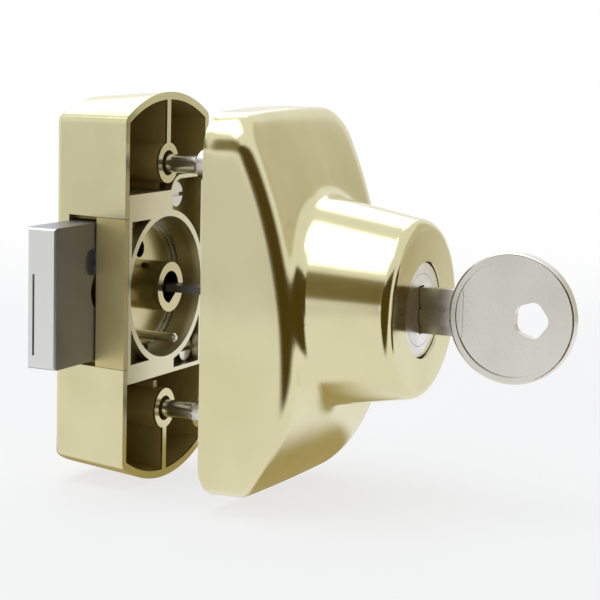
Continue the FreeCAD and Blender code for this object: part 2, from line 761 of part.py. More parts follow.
def make_bolt():
    body = new_body("bolt")
    face = new_sketch(body, "BoltFace", offset=d.bolt_front)
    tip = -d.case_half_width - d.bolt_reach
    tail = bolt_tail_end
    top = d.bolt_half_height
    bevel = d.bolt_tail_bevel
    outline(face, [(tip, -top), (tail - bevel, -top), (tail, bevel - top),
                   (tail, top - bevel), (tail - bevel, top), (tip, top)])
    pad_back(body, face, d.bolt_thick)
    at_tip = edges_where(body.Shape, lambda ends: all(abs(end.x - tip.value) < 0.01 for end in ends))
    dress(body, "Chamfer", at_tip, d.bolt_edge)
    fork = d.hub_stub_radius + d.slide_gap
    slot = new_sketch(body, "HubSlot", offset=d.bolt_front - 1)
    outline(slot, [(-d.throw, -fork), (tail + 1, -fork), (tail + 1, fork), (-d.throw, fork),
                   (-d.throw - fork, 0.0)], arcs={3: fork, 4: fork})
    cut_back(body, slot, None)
    drive = new_sketch(body, "DriveSlot", offset=d.bolt_front - 1)
    upright_slot(drive, -pin_place, pin_place, pin_swing, drive_slot_radius)
    cut_back(body, drive, None)
    scallop = new_sketch(body, "Scallop", offset=d.bolt_front - 1)
    circle(scallop, -d.case_half_width, d.bolt_scallop_up, d.bolt_scallop)
    cut_back(body, scallop, d.bolt_scallop_depth + 1)
    seam = new_sketch(body, "EndSeam", role="YZ_Plane", offset=tip)
    seam_back = bolt_back - d.bolt_seam_back
    rectangle(seam, seam_back - d.bolt_seam, -d.bolt_seam_bottom, seam_back, d.bolt_seam_top)
    extrude(body, "Pocket", seam, d.bolt_seam, backward=True)
    for name, up in (("Upper", d.hard_pin_spread), ("Lower", -d.hard_pin_spread)):
        drilled = new_sketch(body, name + "RodHole", role="YZ_Plane", offset=-d.throw)
        circle(drilled, d.bolt_front + d.bolt_thick / 2, up, d.hard_pin_radius)
        extrude(body, "Pocket", drilled, fork + d.hard_pin_length, backward=False)
    return body


def make_bolt_hard_pins():
    rods = []
    end = d.throw + d.hub_stub_radius + d.slide_gap + d.hard_pin_length
    for name, up in (("UpperRod", d.hard_pin_spread), ("LowerRod", -d.hard_pin_spread)):
        rods.append(rod(name, d.hard_pin_radius, d.hard_pin_length, -end,
                        d.bolt_front + d.bolt_thick / 2, up, facing=FACING_RIGHT))
    return group("HardRods", rods)


# Hub, its pins and its bearings.

def make_hub():
    body = new_body("hub")
    profile = new_sketch(body, "HubProfile", role="XY_Plane")
    tube = d.hub_tube_radius
    stub_end = rail_front + d.bush_length
    outline(profile,
            [(0.0, -d.hub_tube_proud), (tube, -d.hub_tube_proud), (tube, d.hub_disc_front),
             (hub_disc_radius, d.hub_disc_front), (hub_disc_radius, hub_disc_back),
             (d.hub_stub_radius, hub_disc_back), (d.hub_stub_radius, stub_end), (0.0, stub_end)])
    turn(body, "Revolution", profile)
    bore = new_sketch(body, "DBore", offset=-d.hub_tube_proud - 1)
    bore.AttachmentOffset = Placement(bore.AttachmentOffset.Base, Rotation(Vector(0, 0, 1), 37))
    half_chord = square_root(d.hub_bore * d.hub_bore - d.hub_bore_flat * d.hub_bore_flat)
    outline(bore, [(-half_chord, -d.hub_bore_flat), (half_chord, -d.hub_bore_flat), (0.0, d.hub_bore)],
            arcs={1: d.hub_bore, 2: d.hub_bore})
    cut_back(body, bore, d.hub_bore_depth + 1)
    slot = new_sketch(body, "TailSlot", offset=0.0)
    half_width = d.tail_width / 2 + d.tail_gap
    half_height = d.tail_thick / 2 + d.tail_gap
    rectangle(slot, -half_width, -half_height, half_width, half_height)
    cut_back(body, slot, d.tail_reach + 1)
    eye = new_sketch(body, "Eye", offset=d.hub_disc_front - 1)
    circle(eye, -d.eye_across, d.eye_up, d.eye_radius)
    cut_back(body, eye, None)
    pin = new_sketch(body, "PinHole", offset=d.hub_disc_front + d.ring_thick)
    circle(pin, -pin_place, pin_place, d.drive_pin_radius)
    cut_back(body, pin, d.hub_disc_thick)
    stud = new_sketch(body, "StudHole", offset=d.hub_disc_front - 1)
    circle(stud, d.stud_across, -stud_down, d.stud_radius)
    cut_back(body, stud, None)
    return body


def make_hub_stud():
    shank = rod("StudShank", d.stud_radius, hub_disc_back + d.hub_tube_proud - d.stud_radius / 2,
                d.stud_across, d.stud_radius / 2 - d.hub_tube_proud, -stud_down)
    tip = cone("StudTip", d.stud_radius / 2, d.stud_radius, d.stud_radius / 2,
               d.stud_across, -d.hub_tube_proud, -stud_down)
    return join("Stud", [shank, tip])


def make_drive_pin():
    start = d.hub_disc_front + d.ring_thick
    return rod("DrivePin", d.drive_pin_radius, bolt_back - start - d.bolt_edge, -pin_place, start, pin_place)


def make_hub_snap_ring():
    front = d.hub_disc_front - d.rest_gap - d.ring_thick
    outer = rod("RingOuter", ring_outer, d.ring_thick, 0.0, front, 0.0)
    inner = rod("RingInner", ring_inner, d.ring_thick + 2, 0.0, front - 1, 0.0)
    gap = block("RingGap", (-d.ring_thick, front - 1, -ring_outer - 1),
                (d.ring_thick, front + d.ring_thick + 1, 0.0))
    return subtract("SnapRing", outer, [inner, gap])


def make_hub_bush():
    outer = rod("BushOuter", bush_outer, d.bush_length, 0.0, rail_front, 0.0)
    inner = rod("BushInner", d.hub_stub_radius + d.run_fit, d.bush_length + 2, 0.0, rail_front - 1, 0.0)
    return subtract("Bush", outer, [inner])


# Screws and posts.

def make_plate_screws():
    screws = []
    for name, across, up in plate_screw_places:
        head_front = d.seat_depth - d.plate_screw_head_thick
        head = rod(name + "Head", d.plate_screw_head, d.plate_screw_head_thick, across, head_front, up)
        shank = rod(name + "Shank", d.plate_screw_radius, d.plate_screw_length, across, d.seat_depth, up)
        half = d.screw_slot / 2
        slot = block(name + "Slot", (across - d.plate_screw_head, head_front - 1, up - half),
                     (across + d.plate_screw_head, head_front + d.screw_slot, up + half))
        screws.append(subtract(name + "PlateScrew", join(name + "Blank", [head, shank]), [slot]))
    return group("PlateScrews", screws)


def make_through_screws():
    screws = []
    for name, up in through_screw_places:
        sunk = d.screw_head - d.screw_core
        head = cone(name + "SunkHead", d.screw_core, d.screw_head, sunk, 0.0, d.case_depth - sunk, up)
        shank = rod(name + "Shank", d.screw_core, d.case_depth - sunk, 0.0, 0.0, up)
        rear = rod(name + "Rear", d.screw_radius, d.screw_neck, 0.0, -d.screw_neck, up)
        neck_front = -d.screw_neck - 2 * d.screw_neck_depth
        neck = rod(name + "Neck", d.screw_radius - d.screw_neck_depth, 2 * d.screw_neck_depth,
                   0.0, neck_front, up)
        front = rod(name + "Front", d.screw_core, d.screw_reach + neck_front, 0.0, -d.screw_reach, up)
        half = d.screw_slot / 2
        slot = block(name + "Driver", (-d.screw_head, d.case_depth - sunk / 2, up - half),
                     (d.screw_head, d.case_depth + 1, up + half))
        screws.append(subtract(name + "Screw", join(name + "Bar", [head, shank, rear, neck, front]), [slot]))
    return group("ThroughScrews", screws)


def make_threaded_posts():
    posts = []
    for name, up in through_screw_places:
        length = d.door_gap + d.post_depth - d.post_start
        end = ahead(d.post_depth)
        bar = rod(name + "PostBar", d.post_radius, length, 0.0, end, up)
        collar = rod(name + "PostRoot", d.post_root, d.post_depth - d.post_boss_start + d.post_root_proud,
                     0.0, end, up)
        depth = d.screw_reach - d.post_start + 1
        tapped = rod(name + "PostBore", d.screw_core + d.rest_gap / 2, depth + 1,
                     0.0, -d.post_start - depth, up)
        posts.append(subtract(name + "Post", join(name + "PostBlank", [bar, collar]), [tapped]))
    return group("Posts", posts)


# Outer cover with its barrel.

def hollow(body, rim_place, wall):
    """Shells the body to a wall's thickness, open at the face that lies in the rim's plane."""
    level = as_size(rim_place).value
    names = ["Face%d" % (number + 1) for number, face in enumerate(body.Shape.Faces)
             if all(abs(vertex.Y - level) < 0.01 for vertex in face.Vertexes)]
    base = body.Tip
    before = body.Shape.Volume
    feature = body.newObject("PartDesign::Thickness", body.Label + "_Thickness")
    feature.Base = (base, names)
    bind(feature, "Value", wall)
    feature.Join = "Arc"
    feature.Reversed = True
    doc.recompute()
    if feature.Shape.isNull() or feature.Shape.Volume >= before:
        raise ValueError(feature.Name + " hollows nothing")
    return feature


def bow_radius(end, drop):
    """Radius of the front's bow that falls by this drop from the crest to this height."""
    rise = end + d.crest_drop
    return (rise * rise + drop * drop) / (2 * drop)


cover_end = d.cover_side + d.cover_arch
upper_bow = bow_radius(cover_end, d.upper_drop)
lower_bow = bow_radius(-cover_end, d.lower_drop)


def bow_height(radius, up):
    """Height of the front face above the rim, on the bow of this radius."""
    rise = up + d.crest_drop
    return d.crest_height - radius + square_root(radius * radius - rise * rise)


def on_front(spot):
    """Whether a point lies on the cover's bowed front."""
    radius = upper_bow if spot.z > -d.crest_drop.value else lower_bow
    height = bow_height(radius, Size(spot.z, ""))
    return abs(ahead(height).value - spot.y) < 0.01


def off_axis(spot):
    return math.hypot(spot.x, spot.z)


def make_cover():
    body = new_body("cover")
    rim = new_sketch(body, "CoverRim", offset=-d.door_gap)
    width = d.cover_half_width
    side = d.cover_side
    rise = width * width + d.cover_arch * d.cover_arch
    end_radius = rise / (2 * d.cover_arch)
    outline(rim, [(width, -side), (width, side), (-width, side), (-width, -side)],
            arcs={1: end_radius, 3: end_radius})
    spare = 2.0
    height = d.crest_height + spare
    extrude(body, "Pad", rim, height, backward=False)
    lean_sides(body, "CoverSides", width, d.cover_lean * height, -d.door_gap, ahead(height))
    corners = edges_where(body.Shape, between(-d.door_gap, ahead(height)))
    dress(body, "Fillet", corners, d.cover_corner)
    bow = new_sketch(body, "BowedFront", role="YZ_Plane")
    high = cover_end
    beyond = ahead(d.crest_height + 2 * spare)
    outline(bow,
            [(beyond, -high), (ahead(bow_height(lower_bow, -high)), -high),
             (ahead(d.crest_height), -d.crest_drop), (ahead(bow_height(upper_bow, high)), high),
             (beyond, high)],
            clockwise_arcs={1: lower_bow, 2: upper_bow})
    cut_through(body, bow)
    hollow(body, -d.door_gap, d.cover_wall)
    crest = -d.crest_drop.value
    front_edges = edges_where(body.Shape, lambda ends: (
        all(on_front(end) for end in ends) and not all(abs(end.z - crest) < 0.01 for end in ends)))
    dress(body, "Fillet", front_edges, d.cover_edge)

    lugs = new_sketch(body, "PostLugs", role="YZ_Plane")
    start = ahead(d.post_boss_start)
    for radius, up in ((upper_bow, d.screw_spread), (lower_bow, -d.screw_spread)):
        low = up - d.post_boss
        high = up + d.post_boss
        outline(lugs, [(start, low), (ahead(bow_height(radius, low) - d.cover_wall / 2), low),
                       (ahead(bow_height(radius, high) - d.cover_wall / 2), high), (start, high)])
    extrude(body, "Pad", lugs, 2 * d.post_boss, both=True)
    post_hole = new_sketch(body, "PostHoles", offset=-d.door_gap)
    for name, up in through_screw_places:
        circle(post_hole, 0.0, up, d.post_root)
    extrude(body, "Pocket", post_hole, d.post_depth, backward=True)

    barrel = new_sketch(body, "Barrel", role="XY_Plane")
    seat = ahead(d.barrel_seat)
    end = ahead(d.barrel_length)
    root = d.barrel_radius + d.barrel_draft
    outline(barrel,
            [(0.0, seat), (root, seat), (d.barrel_radius, end + d.barrel_edge),
             (d.barrel_radius - d.barrel_edge, end), (0.0, end)],
            clockwise_arcs={2: d.barrel_edge})
    turn(body, "Revolution", barrel)
    foot = edges_where(body.Shape, lambda ends: all(
        on_front(end) and abs(off_axis(end) - root.value) < d.barrel_draft.value for end in ends))
    dress(body, "Fillet", foot, d.barrel_foot)
    bore = new_sketch(body, "BarrelBore", role="XY_Plane")
    hole = d.nose_radius + d.nose_gap
    shoulder = ahead(d.barrel_length - d.barrel_end_wall)
    inside = ahead(d.barrel_seat / 2)
    outline(bore, [(0.0, inside), (d.barrel_bore, inside), (d.barrel_bore, shoulder),
                   (hole, shoulder), (hole, end - 1), (0.0, end - 1)])
    turn(body, "Groove", bore)
    return body


# Cylinder, its nut and its plug.

def make_cylinder_body():
    body = new_body("cylinder_body")
    profile = new_sketch(body, "CylinderProfile", role="XY_Plane")
    rear = ahead(d.cylinder_rear)
    seat = ahead(d.barrel_seat)
    shoulder = ahead(d.barrel_length - d.barrel_end_wall)
    outline(profile,
            [(0.0, rear), (d.thread_radius, rear), (d.thread_radius, seat), (d.cylinder_radius, seat),
             (d.cylinder_radius, shoulder), (d.nose_radius, shoulder), (d.nose_radius, plug_face),
             (0.0, plug_face)])
    turn(body, "Revolution", profile)
    bore = new_sketch(body, "PlugBore", offset=plug_face - 1)
    circle(bore, 0.0, 0.0, d.plug_radius + d.run_fit)
    cut_back(body, bore, None)
    channel = new_sketch(body, "WaferChannels", offset=shoulder + d.rest_gap)
    rectangle(channel, -d.channel_half_width, -d.channel_reach, d.channel_half_width, d.channel_reach)
    cut_back(body, channel, None)
    return body


def make_cylinder_nut():
    blank = doc.addObject("Part::Prism", "NutBlank")
    blank.Polygon = 6
    bind(blank, "Circumradius", washer_radius - d.rest_gap)
    bind(blank, "Height", d.nut_thick)
    blank.Placement = Placement(Vector(0, 0, 0), FACING_BACK)
    front = ahead(d.barrel_seat - d.washer_thick)
    place(blank, 0.0, front, 0.0)
    thread = rod("NutThread", d.thread_radius, d.nut_thick + 2, 0.0, front - 1, 0.0)
    return subtract("Nut", blank, [thread])


def make_nut_washer():
    front = ahead(d.barrel_seat)
    outer = rod("WasherOuter", washer_radius, d.washer_thick, 0.0, front, 0.0)
    inner = rod("WasherInner", d.thread_radius + d.rest_gap, d.washer_thick + 2, 0.0, front - 1, 0.0)
    return subtract("Washer", outer, [inner])


def key_section(sketch, gap):
    """The blade's section with its side groove and lower step, or with a gap the keyway's."""
    side = d.keyway_width / 2 - d.key_fit + gap
    high = d.blade_half_height + gap
    groove = side - d.groove_depth
    step = side - d.step_depth
    low = d.groove_low + gap
    top = d.groove_high - gap
    down = -d.step_down - gap
    outline(sketch,
            [(-step, -high), (side, -high), (side, -top), (groove, -top), (groove, -low), (side, -low),
             (side, high), (-side, high), (-side, top), (-groove, top), (-groove, low), (-side, low),
             (-side, down), (-step, down)])


def make_plug():
    body = new_body("plug")
    profile = new_sketch(body, "PlugProfile", role="XY_Plane")
    rear = ahead(d.cylinder_rear)
    end = ahead(d.cylinder_rear - d.plug_tail_length)
    clip_front = rear + d.rest_gap
    clip_back = clip_front + d.clip_thick
    neck = d.plug_tail_radius - d.clip_groove
    outline(profile,
            [(0.0, end), (d.plug_tail_radius, end), (d.plug_tail_radius, clip_back), (neck, clip_back),
             (neck, clip_front), (d.plug_tail_radius, clip_front), (d.plug_tail_radius, rear),
             (d.plug_radius, rear), (d.plug_radius, plug_face), (0.0, plug_face)])
    turn(body, "Revolution", profile)
    keyway = new_sketch(body, "Keyway", offset=plug_face - 1)
    key_section(keyway, d.key_fit)
    cut_back(body, keyway, blade_tip + d.keyway_spare - plug_face + 1)
    slots = new_sketch(body, "WaferSlots", role="XY_Plane")
    half_width = d.wafer_half_width + d.wafer_gap
    half_thick = d.wafer_thick / 2 + d.wafer_gap
    for spot in wafer_places:
        rectangle(slots, -half_width, spot - half_thick, half_width, spot + half_thick)
    cut_through(body, slots)
    slot = new_sketch(body, "TailpieceSlot", offset=ahead(d.tail_root))
    across = d.tail_width / 2 + d.rest_gap
    up = d.tail_thick / 2 + d.rest_gap
    rectangle(slot, -across, -up, across, up)
    cut_back(body, slot, None)
    cross = new_sketch(body, "TailScrewHole", role="XY_Plane")
    circle(cross, 0.0, ahead(d.tail_screw_place), d.tail_screw_radius)
    cut_through(body, cross)
    return body


def make_plug_clip():
    front = ahead(d.cylinder_rear) + d.rest_gap
    outer = rod("ClipOuter", d.clip_radius, d.clip_thick, 0.0, front, 0.0)
    neck = d.plug_tail_radius - d.clip_groove
    inner = rod("ClipInner", neck, d.clip_thick + 2, 0.0, front - 1, 0.0)
    mouth = block("ClipMouth", (-neck / 2, front - 1, -d.clip_radius - 1),
                  (neck / 2, front + d.clip_thick + 1, 0.0))
    return subtract("Clip", outer, [inner, mouth])


def make_wafers():
    wafers = []
    half_thick = d.wafer_thick / 2
    side = d.keyway_width / 2 + d.wafer_gap
    reach = d.blade_half_height + d.key_fit + d.wafer_gap
    for number, spot in enumerate(wafer_places, start=1):
        blank = block("WaferBlank%d" % number,
                      (-d.wafer_half_width, spot - half_thick, -d.wafer_half_height),
                      (d.wafer_half_width, spot + half_thick, d.wafer_half_height))
        window = block("WaferWindow%d" % number, (-side, spot - d.wafer_thick, -reach),
                       (side, spot + d.wafer_thick, reach))
        notch = block("WaferNotch%d" % number,
                      (d.wafer_half_width - d.spring_width, spot - d.wafer_thick, -d.spring_length / 2),
                      (d.wafer_half_width + 1, spot + d.wafer_thick, d.spring_length / 2))
        wafers.append(subtract("Wafer%d" % number, blank, [window, notch]))
    return group("Wafers", wafers)


def make_wafer_springs():
    springs = []
    half = d.spring_length / 2 - d.rest_gap / 2
    sag = d.spring_width - d.spring_leaf - d.rest_gap
    radius = (half * half + sag * sag) / (2 * sag)
    outer_side = d.wafer_half_width
    for number, spot in enumerate(wafer_places, start=1):
        start = spot - d.wafer_thick / 2
        outer = rod("LeafOuter%d" % number, radius, d.wafer_thick, outer_side - radius, start, 0.0)
        inner = rod("LeafInner%d" % number, radius - d.spring_leaf, d.wafer_thick + 2,
                    outer_side - radius, start - 1, 0.0)
        bent = subtract("LeafBent%d" % number, outer, [inner])
        ends = block("LeafEnds%d" % number, (outer_side - d.spring_width, start - 1, -half),
                     (outer_side + 1, start + d.wafer_thick + 1, half))
        leaf = doc.addObject("Part::MultiCommon", "Leaf%d" % number)
        leaf.Shapes = [bent, ends]
        springs.append(leaf)
    return group("Leaves", springs)


def make_tailpiece():
    bar = block("TailBar", (-d.tail_width / 2, ahead(d.tail_root), -d.tail_thick / 2),
                (d.tail_width / 2, d.tail_reach, d.tail_thick / 2))
    hole = rod("TailBarHole", d.tail_screw_radius, d.tail_thick + 2, 0.0,
               ahead(d.tail_screw_place), -d.tail_thick / 2 - 1, facing=FACING_UP)
    return subtract("Tailpiece", bar, [hole])


def make_tailpiece_screw():
    across = d.plug_tail_radius
    seat = square_root(across * across - d.tail_screw_head * d.tail_screw_head)
    spot = ahead(d.tail_screw_place)
    shank = rod("TailScrewShank", d.tail_screw_radius, seat + seat, 0.0, spot, -seat, facing=FACING_UP)
    head = rod("TailScrewHead", d.tail_screw_head, d.tail_screw_radius, 0.0, spot, seat, facing=FACING_UP)
    return join("TailScrew", [shank, head])


# Key.

def make_key():
    body = new_body("key")
    centre = bow_centre
    bow = new_sketch(body, "Bow", role="YZ_Plane")
    circle(bow, centre, 0.0, d.bow_radius)
    extrude(body, "Pad", bow, d.bow_thick, both=True)
    rims = edges_where(body.Shape, lambda ends: all(
        abs(abs(end.x) - d.bow_thick.value / 2) < 0.01 for end in ends))
    dress(body, "Fillet", rims, d.bow_round)
    for name, side in (("Left", -1), ("Right", 1)):
        recess = new_sketch(body, name + "Recess", role="YZ_Plane", offset=side * d.bow_thick / 2)
        circle(recess, centre, 0.0, d.bow_radius - d.bow_rim)
        extrude(body, "Pocket", recess, d.bow_recess, backward=side < 0)
    hole = new_sketch(body, "BowHole", role="YZ_Plane")
    hole_centre = centre - d.bow_hole_offset
    corners = []
    for number in range(5):
        turned = math.radians(72 * number - 90)
        corners.append((hole_centre + d.bow_hole_radius * math.sin(turned),
                        d.bow_hole_radius * math.cos(turned)))
    outline(hole, corners)
    cut_through(body, hole)
    face = d.bow_thick.value / 2 - d.bow_recess.value
    across = edges_where(body.Shape, lambda ends: (
        len(ends) == 2 and abs(ends[0].x + ends[1].x) < 0.01 and abs(abs(ends[0].x) - face) < 0.01
        and math.hypot(ends[0].y - hole_centre.value, ends[0].z) < d.bow_hole_radius.value + 0.01))
    dress(body, "Fillet", across, d.bow_hole_round)

    top = d.blade_half_height
    side = d.keyway_width / 2 - d.key_fit
    blade = new_sketch(body, "Blade", role="YZ_Plane")
    outline(blade, [(centre + d.bow_radius - 2 * d.bow_rim, -top), (blade_tip - d.blade_point, -top),
                    (blade_tip, d.blade_point - top), (blade_tip, top - d.blade_point),
                    (blade_tip - d.blade_point, top), (centre + d.bow_radius - 2 * d.bow_rim, top)])
    extrude(body, "Pad", blade, 2 * side, both=True)
    past = blade_tip + 1
    groove_end = plug_face - d.groove_ahead
    step_end = plug_face - d.step_ahead
    middle = (d.groove_low + d.groove_high) / 2
    point = groove_end + d.groove_high - d.groove_low
    for name, facing in (("Left", -1), ("Right", 1)):
        groove = new_sketch(body, name + "Groove", role="YZ_Plane", offset=facing * side)
        outline(groove, [(past, -facing * d.groove_low), (past, -facing * d.groove_high),
                         (point, -facing * d.groove_high), (groove_end, -facing * middle),
                         (point, -facing * d.groove_low)])
        extrude(body, "Pocket", groove, d.groove_depth, backward=facing < 0)
    step = new_sketch(body, "LowerStep", role="YZ_Plane", offset=-side)
    rectangle(step, step_end, -top - 1, past, -d.step_down)
    extrude(body, "Pocket", step, d.step_depth, backward=True)
    bitting = new_sketch(body, "Bitting", role="YZ_Plane")
    for spot, depth in zip(wafer_places[:-1], CUT_DEPTHS):
        outline(bitting, [(spot - d.cut_width, -top - 1), (spot - d.cut_width, -top),
                          (spot - d.cut_width / 2, depth - top), (spot + d.cut_width / 2, depth - top),
                          (spot + d.cut_width, -top), (spot + d.cut_width, -top - 1)])
    cut_through(body, bitting)
    return body


PIECES = (
    ("case", make_case),
    ("mechanism_plate", make_mechanism_plate),
    ("bolt_slot_filler", make_bolt_slot_filler),
    ("bolt", make_bolt),
    ("bolt_hard_pins", make_bolt_hard_pins),
    ("hub", make_hub),
    ("hub_stud", make_hub_stud),
    ("drive_pin", make_drive_pin),
    ("hub_snap_ring", make_hub_snap_ring),
    ("hub_bush", make_hub_bush),
    ("plate_screws", make_plate_screws),
    ("through_screws", make_through_screws),
    ("threaded_posts", make_threaded_posts),
    ("cover", make_cover),
    ("cylinder_body", make_cylinder_body),
    ("cylinder_nut", make_cylinder_nut),
    ("nut_washer", make_nut_washer),
    ("plug", make_plug),
    ("plug_clip", make_plug_clip),
    ("wafers", make_wafers),
    ("wafer_springs", make_wafer_springs),
    ("tailpiece", make_tailpiece),
    ("tailpiece_screw", make_tailpiece_screw),
    ("key", make_key),
)
for label, make in PIECES:
    keep(label, make())


def save_pieces():
    """Checks every object and writes each piece's file."""
    doc.recompute()
    for item in doc.Objects:
        if "Invalid" in item.State or "Error" in item.State:
            raise ValueError(item.Name + " failed: " + ", ".join(item.State))
    for label, item in pieces.items():
        if item.Shape.isNull() or not item.Shape.isValid() or not item.Shape.Solids:
            raise ValueError(label + " has no valid shape")
    os.makedirs("parts", exist_ok=True)
    for label, item in pieces.items():
        item.Shape.exportStep("parts/" + label + ".step")
        box = item.Shape.BoundBox
        print("%-18s solids %d volume %8.1f X %.1f..%.1f Y %.1f..%.1f Z %.1f..%.1f" % (
            label, len(item.Shape.Solids), item.Shape.Volume,
            box.XMin, box.XMax, box.YMin, box.YMax, box.ZMin, box.ZMax))


save_pieces()
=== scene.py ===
"""Looks of a clamp-through deadbolt: its metal finishes, worn edges, studio and camera."""

from __future__ import annotations

import json  # noqa: E402
import logging  # noqa: E402
import math  # noqa: E402
from abc import ABC, abstractmethod  # noqa: E402
from dataclasses import dataclass, field, fields  # noqa: E402
from enum import Enum  # noqa: E402
from typing import Any, ClassVar, Mapping, Sequence, Union  # noqa: E402

import bpy  # noqa: E402
from mathutils import Matrix, Vector  # noqa: E402


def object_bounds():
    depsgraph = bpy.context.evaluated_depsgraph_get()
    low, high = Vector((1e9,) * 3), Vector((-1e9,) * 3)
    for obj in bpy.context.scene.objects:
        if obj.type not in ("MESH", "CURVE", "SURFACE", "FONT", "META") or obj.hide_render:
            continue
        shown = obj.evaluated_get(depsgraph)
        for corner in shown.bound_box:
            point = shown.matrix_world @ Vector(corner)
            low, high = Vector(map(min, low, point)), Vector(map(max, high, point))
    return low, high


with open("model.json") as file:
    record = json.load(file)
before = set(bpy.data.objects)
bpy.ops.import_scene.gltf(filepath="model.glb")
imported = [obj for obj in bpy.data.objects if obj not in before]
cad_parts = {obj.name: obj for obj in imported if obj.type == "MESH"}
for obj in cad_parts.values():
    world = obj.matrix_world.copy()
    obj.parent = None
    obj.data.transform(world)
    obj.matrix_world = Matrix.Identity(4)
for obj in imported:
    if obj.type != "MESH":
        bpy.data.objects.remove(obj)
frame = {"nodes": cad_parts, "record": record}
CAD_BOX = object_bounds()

LOG = logging.getLogger("deadbolt")
MM = 0.001

Colour = tuple[float, float, float]
Point = tuple[float, float, float]
Place = tuple[float, float]

WHITE: Colour = (1.0, 1.0, 1.0)
# painted reflection: the tone of the dark room that the cards show only in the metal's reflections
REFLECTED_DUSK: Colour = (0.09, 0.06, 0.01)
# painted shadow: the tone of the lock's own shade on the floor, shown in reflections only
REFLECTED_SHADOW_OLIVE: Colour = (0.46, 0.38, 0.17)


# Shader maths.


class Wire:
    """A shader socket that Python's operators work on."""

    def __init__(self, nodes: Nodes, socket: bpy.types.NodeSocket) -> None:
        """Wraps a socket.

        Args:
            nodes: the nodes that the socket belongs to.
            socket: an output socket.
        """
        self.nodes = nodes
        self.socket = socket

    def _math(self, operation: str, first: Value, second: Value) -> Wire:
        """Adds one Math node.

        Args:
            operation: the node's operation.
            first: its first value.
            second: its second value.

        Returns:
            The node's result.
        """
        return self.nodes.node("ShaderNodeMath", {"operation": operation}, {0: first, 1: second})

    def __add__(self, other: Value) -> Wire:
        """Sum."""
        return self._math("ADD", self, other)

    def __radd__(self, other: Value) -> Wire:
        """Sum, reflected."""
        return self._math("ADD", other, self)

    def __sub__(self, other: Value) -> Wire:
        """Difference."""
        return self._math("SUBTRACT", self, other)

    def __rsub__(self, other: Value) -> Wire:
        """Difference, reflected."""
        return self._math("SUBTRACT", other, self)

    def __mul__(self, other: Value) -> Wire:
        """Product."""
        return self._math("MULTIPLY", self, other)

    def __rmul__(self, other: Value) -> Wire:
        """Product, reflected."""
        return self._math("MULTIPLY", other, self)

    def __abs__(self) -> Wire:
        """This value without its sign."""
        return self._math("ABSOLUTE", self, 0.0)

    def ramp(self, start: float, end: float) -> Wire:
        """Goes smoothly from 0 at start to 1 at end.

        Args:
            start: the value that gives 0.
            end: the value that gives 1.

        Returns:
            The smooth step.
        """
        settings = {"interpolation_type": "SMOOTHSTEP", "clamp": True}
        sockets = {"Value": self, "From Min": start, "From Max": end}
        return self.nodes.node("ShaderNodeMapRange", settings, sockets)


Value = Union[float, int, Wire]
Link = Union[Value, Sequence[float]]


class Ray(Enum):
    """What a ray of light is traced for, by its output on the Light Path node."""

    CAMERA = "Is Camera Ray"
    GLOSSY = "Is Glossy Ray"
    TRANSMISSION = "Is Transmission Ray"


class Mixed(Enum):
    """What a Mix node mixes, with the numbers of its two inputs and of its output."""

    COLOURS = ("RGBA", 6, 7, 2)
    VECTORS = ("VECTOR", 4, 5, 1)


class Nodes:
    """The nodes of a material or of the world, and the one way to add to them."""

    def __init__(self, owner: Union[bpy.types.Material, bpy.types.World], end: str) -> None:
        """Empties the owner's node tree and gives it its last node.

        Args:
            owner: the material or the world.
            end: the type of the last node.
        """
        owner.use_nodes = True
        self.tree = owner.node_tree
        self.tree.nodes.clear()
        self.end = self.tree.nodes.new(end)

    def node(
        self,
        kind: str,
        settings: Mapping[str, Any] | None = None,
        sockets: Mapping[Union[str, int], Link] | None = None,
        output: Union[str, int] = 0,
    ) -> Wire:
        """Adds one node.

        Args:
            kind: the node's type.
            settings: the node's own settings.
            sockets: values or wires by socket name or number.
            output: the output that is wanted.

        Returns:
            The wanted output.
        """
        made = self.tree.nodes.new(kind)
        for name, value in (settings or {}).items():
            setattr(made, name, value)
        for name, value in (sockets or {}).items():
            self.feed(made.inputs[name], value)
        return Wire(self, made.outputs[output])

    def feed(self, socket: bpy.types.NodeSocket, value: Link) -> None:
        """Links a wire to a socket, or sets the socket's own value.

        Args:
            socket: an input socket.
            value: a wire, a number or a tuple, to which a colour's missing alpha is added.
        """
        if isinstance(value, Wire):
            self.tree.links.new(value.socket, socket)
        elif isinstance(value, (int, float)):
            socket.default_value = value
        else:
            padded = tuple(value) if len(value) == len(socket.default_value) else (*value, 1.0)
            socket.default_value = padded

    def ray(self, sort: Ray) -> Wire:
        """1 for rays of one sort and 0 for others."""
        return self.node("ShaderNodeLightPath", output=sort.value)

    def blend(self, share: Value, first: Wire, second: Wire) -> Wire:
        """Mixes two surfaces or backgrounds.

        Args:
            share: 0 or less gives the first, and 1 or more the second.
            first: a surface or background.
            second: a surface or background.

        Returns:
            The mixed one.
        """
        return self.node("ShaderNodeMixShader", None, {0: share, 1: first, 2: second})

    def finish(self, look: Wire) -> None:
        """Makes this surface or background the owner's own."""
        self.feed(self.end.inputs["Surface"], look)


